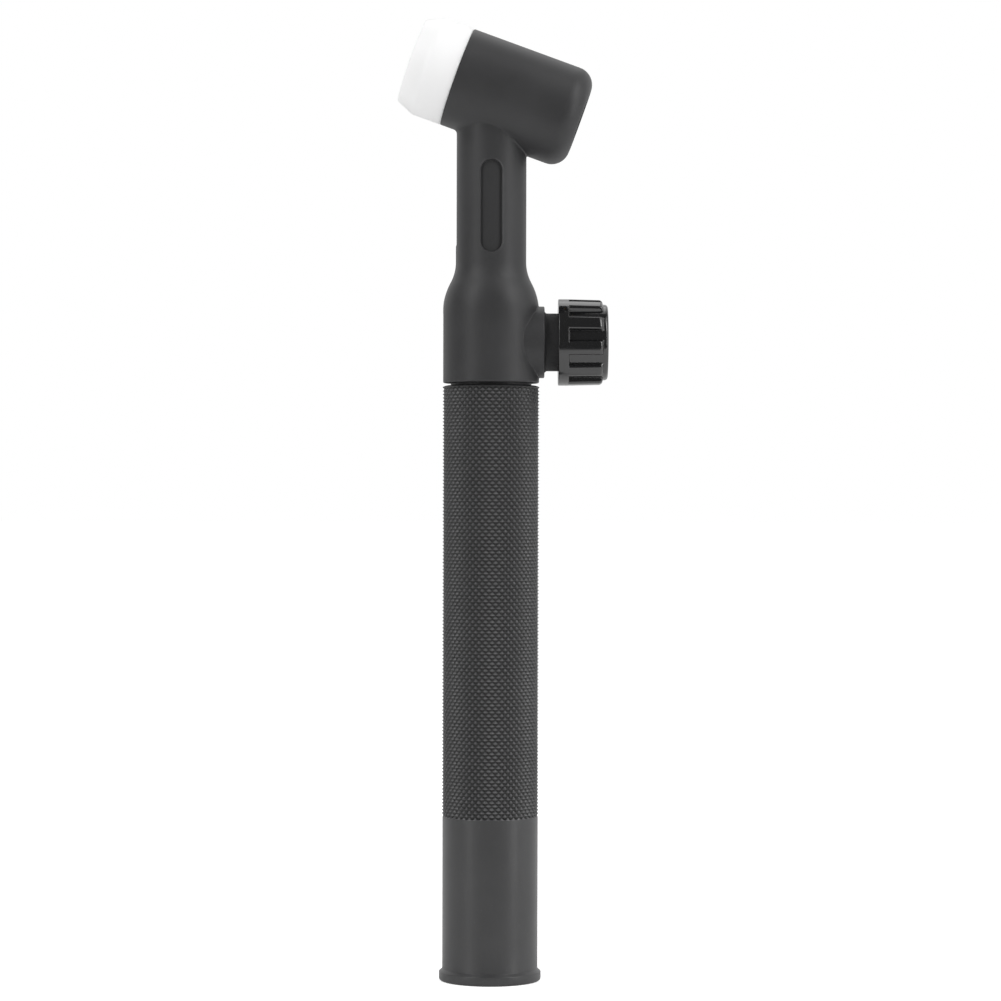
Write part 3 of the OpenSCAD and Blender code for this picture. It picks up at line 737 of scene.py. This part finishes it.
# Sizes of the turned pieces in mm; a thread that is cut towards the axis has a negative depth
gasket = {
    "radius": 11.1, "front": -18.6, "back": -8.0, "bevelLength": 3.9, "bevelWidth": 1.7,
    "bore": 5.2, "flareWidth": 1.6, "flareDepth": 2.2, "noseRadius": 6.8, "noseFoot": -9.8,
    "columns": 160,
}
core = {
    "radius": 6.5, "front": -9.5, "rear": 18.15, "bore": 3.2, "tapRadius": 4.3, "tapLength": 8.0,
    "columns": 72, "pitch": 0.794, "threadDepth": 0.43, "runIn": 0.2, "runOut": 0.8,
}
stud = {
    "radius": 4.76, "foot": 99.0, "bevel": 0.6, "undercutFoot": 110.5, "undercutTop": 112.0,
    "undercutDepth": 0.8, "top": 133.2, "tenon": 3.6, "tenonTop": 136.2, "bore": 2.0,
    "columns": 72, "pitch": 1.058, "threadDepth": -0.6,
}
threadRows = 10  # of the mesh in one pitch


# Cuts a screw thread of one start into the rows marked "thread"
def screwThreadTree():
    tree, given = newGeometryTree("screwThread", [
        ("Pitch", "Float", 0.001), ("Depth", "Float", 0.0005), ("Crest", "Float", 1.5),
        ("Material", "Material", None)])
    z, share, outward = pointsRoundZ(tree)
    along = addNode(tree, "ShaderNodeMath", z, given["Pitch"], operation="DIVIDE")
    travel = addNode(tree, "ShaderNodeMath", along, share, operation="SUBTRACT")
    tooth = addNode(tree, "ShaderNodeMath", travel, 0.5, operation="PINGPONG")
    slope = addNode(tree, "ShaderNodeMath", tooth, 2.0, operation="MULTIPLY")
    steep = addNode(tree, "ShaderNodeMath", slope, given["Crest"], operation="MULTIPLY", use_clamp=True)
    mark = addNode(tree, "GeometryNodeInputNamedAttribute", "thread", data_type="FLOAT")
    part = addNode(tree, "ShaderNodeMath", steep, mark, operation="MULTIPLY")
    push = addNode(tree, "ShaderNodeMath", part, given["Depth"], operation="MULTIPLY")
    shift = addNode(tree, "ShaderNodeVectorMath", outward, operation="SCALE", named={"Scale": push})
    moved = addNode(tree, "GeometryNodeSetPosition", given["Geometry"], named={"Offset": shift})
    return finishTree(tree, given, moved)


screwThread = screwThreadTree()


# Turns an outline and cuts its threads: each is (radius, from, to), with a short run-out at both ends
def turnThreaded(name, outline, threads, sizes, material, matrix=None):
    pitch = sizes["pitch"]
    rows = []
    for i, (r, z) in enumerate(outline):
        rows.append((r, z))
        nextR, nextZ = outline[(i + 1) % len(outline)]
        for radius, low, high in threads:
            onThread = abs(r - radius) < 0.001 and abs(nextR - radius) < 0.001
            if onThread and min(z, nextZ) < high and max(z, nextZ) > low:
                count = round(abs(nextZ - z) / pitch * threadRows)
                rows += [(radius, z + (nextZ - z) * k / count) for k in range(1, count)]
    rows = np.array(rows)
    shell = Shell()
    shell.grid(turned(rows, sizes["columns"]), loop=True)
    piece = shell.piece(name, material, sharp=180)
    spots = readPoints(piece)
    reach = np.hypot(spots[:, 0], spots[:, 1])
    mark = np.zeros(len(spots))
    for radius, low, high in threads:
        near = np.abs(reach - radius) < 0.01
        runOut = np.clip(np.minimum(spots[:, 2] - low, high - spots[:, 2]) / (0.5 * pitch), 0, 1)
        mark = np.maximum(mark, near * runOut)
    applyMarked(piece, "thread", mark, screwThread, {
        "Pitch": pitch * mm, "Depth": sizes["threadDepth"] * mm, "Material": material}, sharp=35)
    if matrix is not None:
        piece.data.transform(matrix)
    return piece


def buildGasket():
    g = gasket
    outline = roundedOutline([
        (g["bore"] + g["flareWidth"], g["front"], 0.25), (g["radius"] - g["bevelWidth"], g["front"], 0.35),
        (g["radius"], g["front"] + g["bevelLength"], 2.6), (g["radius"], g["back"], 0.12),
        (g["noseRadius"], g["back"], 0.2), (g["noseRadius"], g["noseFoot"], 0.1),
        (g["bore"], g["noseFoot"], 0.2), (g["bore"], g["front"] + g["flareDepth"], 0.3)], steps=6)
    shell = Shell()
    shell.grid(turned(outline, g["columns"]), loop=True)
    piece = shell.piece("cupGasket", gasketPtfe, matrix=headMatrix)
    return finishPiece(piece, "gasket", "gasket_ptfe", "cup_gasket")


def buildCore():
    c = core
    frontTap, rearTap = c["front"] + c["tapLength"], c["rear"] - c["tapLength"]
    outline = roundedOutline([
        (c["tapRadius"], c["front"], 0.2), (c["radius"], c["front"], 0.25), (c["radius"], c["rear"], 0.25),
        (c["tapRadius"], c["rear"], 0.2), (c["tapRadius"], rearTap, 0), (c["bore"], rearTap, 0),
        (c["bore"], frontTap, 0), (c["tapRadius"], frontTap, 0)])
    threads = [(c["tapRadius"], c["front"] + c["runIn"], frontTap - c["runOut"]),
               (c["tapRadius"], rearTap + c["runOut"], c["rear"] - c["runIn"])]
    piece = turnThreaded("headCore", outline, threads, c, headBrass, headMatrix)
    return finishPiece(piece, "torch", "turned_brass", "head_core")


def buildStud():
    s = stud
    waist = s["radius"] - s["undercutDepth"]
    outline = roundedOutline([
        (s["bore"], s["foot"], 0.3), (s["radius"] - s["bevel"], s["foot"], 0.1),
        (s["radius"], s["foot"] + s["bevel"], 0.1), (s["radius"], s["undercutFoot"], 0.1),
        (waist, s["undercutFoot"], 0.2), (waist, s["undercutTop"], 0.1), (s["radius"], s["undercutTop"], 0.1),
        (s["radius"], s["top"], 0), (s["tenon"], s["top"], 0), (s["tenon"], s["tenonTop"], 0.1),
        (s["bore"], s["tenonTop"], 0)])
    threads = [(s["radius"], s["foot"] + s["bevel"], s["undercutFoot"])]
    piece = turnThreaded("cableStud", outline, threads, s, blockBrass)
    return finishPiece(piece, "torch", "turned_brass", "cable_stud")


buildGasket()
buildCore()
buildStud()
print("gasket, brass head and cable stud made")


# Sizes of the knob in mm; places along it are measured from the torch axis
knob = {
    "foot": 14.7, "end": 25.6, "rimRadius": 9.5, "rimLength": 2.3, "fluteRadius": 8.3, "ribRadius": 9.5,
    "ribFall": 0.15, "ribEnd": 24.5, "ribRound": 0.9, "endRound": 0.7, "cavity": 6.65, "cavityEnd": 23.2,
    "hub": 4.8, "hubFoot": 17.1, "shank": 2.9, "ribs": 10, "ribTurn": -7.9,
    "ribHalfFoot": 1.65, "ribHalfWall": 1.5, "ribHalfCrest": 1.0,
}


# Repeats one sector of the knob round its axis and welds the copies
def sectorArrayTree():
    tree, given = newGeometryTree("sectorArray", [
        ("Count", "Int", 10), ("First turn", "Float", 0.0), ("Weld", "Float", 0.000002),
        ("Material", "Material", None)])
    places = addNode(tree, "GeometryNodePoints", given["Count"])
    index = addNode(tree, "GeometryNodeInputIndex")
    stepAngle = addNode(tree, "ShaderNodeMath", turn, given["Count"], operation="DIVIDE")
    spin = addNode(tree, "ShaderNodeMath", index, stepAngle, given["First turn"], operation="MULTIPLY_ADD")
    euler = addNode(tree, "ShaderNodeCombineXYZ", 0.0, 0.0, spin)
    rotation = addNode(tree, "FunctionNodeEulerToRotation", euler)
    copies = addNode(tree, "GeometryNodeInstanceOnPoints", places,
                     named={"Instance": given["Geometry"], "Rotation": rotation})
    solid = addNode(tree, "GeometryNodeRealizeInstances", copies)
    welded = addNode(tree, "GeometryNodeMergeByDistance", solid, named={"Distance": given["Weld"]})
    return finishTree(tree, given, welded)


def buildKnob():
    k = knob
    rimTop = k["foot"] + k["rimLength"]
    inside = [(0, k["cavityEnd"], 0), (k["shank"], k["cavityEnd"], 0), (k["shank"], k["hubFoot"], 0.15),
              (k["hub"], k["hubFoot"], 0.3), (k["hub"], k["cavityEnd"], 0.4),
              (k["cavity"], k["cavityEnd"], 0.4), (k["cavity"], k["foot"], 0.15),
              (k["rimRadius"], k["foot"], 0.22)]
    crest = k["ribRadius"] - k["ribFall"]
    # Both outlines have the same number of points, so that one can turn into the other
    flute = roundedOutline(inside + [
        (k["rimRadius"], rimTop, 0.2), (k["fluteRadius"], rimTop, 0.2), (k["fluteRadius"], rimTop + 0.5, 0),
        (k["fluteRadius"], k["ribEnd"] - 1.2, 0), (k["fluteRadius"], k["ribEnd"] - 0.35, 0.35),
        (k["fluteRadius"], k["ribEnd"] + 0.25, 0.1), (k["fluteRadius"], k["end"], k["endRound"]),
        (0, k["end"], 0)], steps=6)
    rib = roundedOutline(inside + [
        (k["rimRadius"], rimTop - 0.1, 0.05), (k["ribRadius"], rimTop + 0.1, 0.05),
        (k["ribRadius"], rimTop + 0.5, 0), (crest + 0.01, k["ribEnd"] - 1.2, 0),
        (crest, k["ribEnd"], k["ribRound"]), (k["fluteRadius"], k["ribEnd"], 0.1),
        (k["fluteRadius"], k["end"], k["endRound"]), (0, k["end"], 0)], steps=6)
    # Cross-section of half a rib: flat crest, rounded edge, steep wall, small fillet and flute
    rise = k["ribRadius"] - k["fluteRadius"]
    edge = k["ribHalfWall"] - k["ribHalfCrest"]
    section = [(0, rise), (k["ribHalfCrest"] * 0.6, rise)]
    section += [(k["ribHalfCrest"] + edge * math.sin(a), rise - edge * (1 - math.cos(a)))
                for a in np.linspace(0, 1.4, 7)]
    wallX, wallY = section[-1]
    section += [(wallX + (k["ribHalfFoot"] - wallX) * t, wallY * (1 - t) ** 1.3)
                for t in (0.35, 0.65, 0.85, 1)]
    sector = math.pi / k["ribs"]
    spots = [(math.asin(x / (k["fluteRadius"] + y)), y / rise) for x, y in section]
    spots += [(spots[-1][0] + (sector - spots[-1][0]) * t, 0) for t in (0.08, 0.35, 0.65, 1)]
    spots = [(-a, w) for a, w in spots[:0:-1]] + spots
    rows = []
    for ribPoint, flutePoint in zip(rib, flute):
        row = []
        for angle, weight in spots:
            r, z = ribPoint * weight + flutePoint * (1 - weight)
            row.append((r * math.cos(angle), r * math.sin(angle), z))
        rows.append(row)
    shell = Shell()
    shell.grid(rows, closed=False)
    # One sector is open at its sides, and the welded copies close it
    piece = shell.piece("valveKnob", knobResin, sharp=180)
    applyTree(piece, sectorArrayTree(), {
        "Count": k["ribs"], "First turn": math.radians(k["ribTurn"]), "Weld": 2 * weldDistance,
        "Material": knobResin})
    mendMesh(piece.data)
    piece.data.set_sharp_from_angle(angle=math.radians(50))
    piece.data.transform(valveMatrix)
    return finishPiece(piece, "valve", "knob_plastic", "valve_knob")


buildKnob()
print("valve knob made")


# The sealed inner pieces keep their solids and get a finish
innerFinishes = {
    "neck_tube": tubeCopper, "valve_block": blockBrass, "valve_stem": stemBrass,
    "head_solder": solder, "block_solder": solder, "stud_solder": solder,
    "inner_o_ring": nitrile, "outer_o_ring": nitrile,
}
for node, material in innerFinishes.items():
    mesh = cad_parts[node].data
    mesh.materials.clear()
    mesh.materials.append(material)
print("inner pieces finished")


# The studio in metres, degrees and watts
stage = {
    "floorSize": 30.0, "floorDrop": 0.00005, "floorColour": "#fcfcfc", "floorGlow": 0.64,
    "tableFront": -0.36, "tableEdge": 0.02, "ambient": 0.35, "skyLight": 0.08, "darkAhead": 0.12,
    "backdrop": 0.8, "backdropEdge": (0.28, 0.4),
    "cameraPlace": (0.00213, -0.726, 0.1054), "roll": -0.13, "lens": 118.7, "sensor": 36,
}
# For each lamp: its angle from the camera's side, distance, height, the height it aims at, size, power
lamps = {
    "leftLamp": (-50, 0.75, 0.42, 0.12, (0.2, 0.95), 1.75),
    "rightLamp": (60, 0.75, 0.42, 0.12, (0.2, 0.95), 2.4),
    "rimLamp": (90, 0.75, 0.42, 0.12, (0.2, 0.95), 0.8),
    "highLeftLamp": (-60, 0.6, 0.8, 0.12, (0.5, 0.7), 1.55),
    "highRightLamp": (60, 0.6, 0.8, 0.12, (0.5, 0.7), 1.4),
    "topLamp": (180, 0.36, 0.85, 0.14, (0.45, 0.62), 0.8),
}


# For rays from the camera, and for rays that a surface mirrors or lets through, 1, otherwise 0
def rayKinds(tree):
    rays = addNode(tree, "ShaderNodeLightPath").outputs
    mirrored = addNode(tree, "ShaderNodeMath", rays["Is Glossy Ray"], rays["Is Transmission Ray"],
                       operation="MAXIMUM")
    return rays["Is Camera Ray"], mirrored


def makeFloor():
    mesh = bpy.data.meshes.new("floor")
    half = stage["floorSize"] / 2
    low = -stage["floorDrop"]
    corners = [(-half, -half, low), (half, -half, low), (half, half, low), (-half, half, low)]
    mesh.from_pydata(corners, [], [(0, 1, 2, 3)])
    floor = bpy.data.objects.new("floor", mesh)
    bpy.context.scene.collection.objects.link(floor)
    material, tree, place = newMaterial("paintedBoard")
    direct, mirrored = rayKinds(tree)
    y = addNode(tree, "ShaderNodeSeparateXYZ", place).outputs[1]
    front, edge = stage["tableFront"], stage["tableEdge"]
    ahead = addNode(tree, "ShaderNodeMapRange", y, front - edge, front + edge, 1.0, 0.0)
    ahead = addNode(tree, "ShaderNodeMath", ahead, mirrored, operation="MULTIPLY")
    glow = addNode(tree, "ShaderNodeMath", direct, stage["floorGlow"], operation="MULTIPLY")
    light = addNode(tree, "ShaderNodeEmission", (1, 1, 1, 1), glow)
    paint = addNode(tree, "ShaderNodeBsdfDiffuse", hexToLinear(stage["floorColour"]))
    table = addNode(tree, "ShaderNodeAddShader", light, paint)
    dark = addNode(tree, "ShaderNodeEmission", (1, 1, 1, 1), stage["darkAhead"])
    both = addNode(tree, "ShaderNodeMixShader", ahead, table, dark)
    addNode(tree, "ShaderNodeOutputMaterial", both)
    mesh.materials.append(material)


# White all round for the camera, a bright backdrop behind and a dark studio ahead in reflections,
# and for the object's own colours a sky that lights it from above
def makeWorld():
    world = bpy.data.worlds.new("studio")
    bpy.context.scene.world = world
    world.use_nodes = True
    tree = world.node_tree
    tree.nodes.clear()
    direct, mirrored = rayKinds(tree)
    sight = addNode(tree, "ShaderNodeTexCoord").outputs["Generated"]
    _, y, z = addNode(tree, "ShaderNodeSeparateXYZ", sight).outputs
    behind = addNode(tree, "ShaderNodeMapRange", y, *stage["backdropEdge"],
                     stage["darkAhead"], stage["backdrop"])
    up = addNode(tree, "ShaderNodeMath", z, 0.0, operation="MAXIMUM")
    sky = addNode(tree, "ShaderNodeMath", up, stage["skyLight"], stage["ambient"], operation="MULTIPLY_ADD")
    level = addNode(tree, "ShaderNodeMix", named={0: mirrored, 2: sky, 3: behind})
    level = addNode(tree, "ShaderNodeMix", named={0: direct, 2: level, 3: 1.0})
    light = addNode(tree, "ShaderNodeBackground", (1, 1, 1, 1), level)
    addNode(tree, "ShaderNodeOutputWorld", light)


def addLamp(name, angle, distance, height, aim, size, power):
    angle = math.radians(angle)
    place = Vector((distance * math.sin(angle), -distance * math.cos(angle), height))
    lamp = bpy.data.lights.new(name, "AREA")
    lamp.shape = "RECTANGLE"
    lamp.size, lamp.size_y = size
    lamp.energy = power
    holder = bpy.data.objects.new(name, lamp)
    holder.location = place
    holder.rotation_euler = (Vector((0, 0, aim)) - place).to_track_quat("-Z", "Y").to_euler()
    holder.visible_camera = False
    bpy.context.scene.collection.objects.link(holder)


makeFloor()
makeWorld()
for name, lamp in lamps.items():
    addLamp(name, *lamp)

camera = bpy.data.cameras.new("camera")
camera.lens, camera.sensor_width = stage["lens"], stage["sensor"]
cameraHolder = bpy.data.objects.new("camera", camera)
cameraHolder.location = stage["cameraPlace"]
cameraHolder.rotation_euler = (math.pi / 2, math.radians(stage["roll"]), 0)
bpy.context.scene.collection.objects.link(cameraHolder)
bpy.context.scene.camera = cameraHolder
bpy.context.scene.view_settings.view_transform = "Standard"
print("stage made")
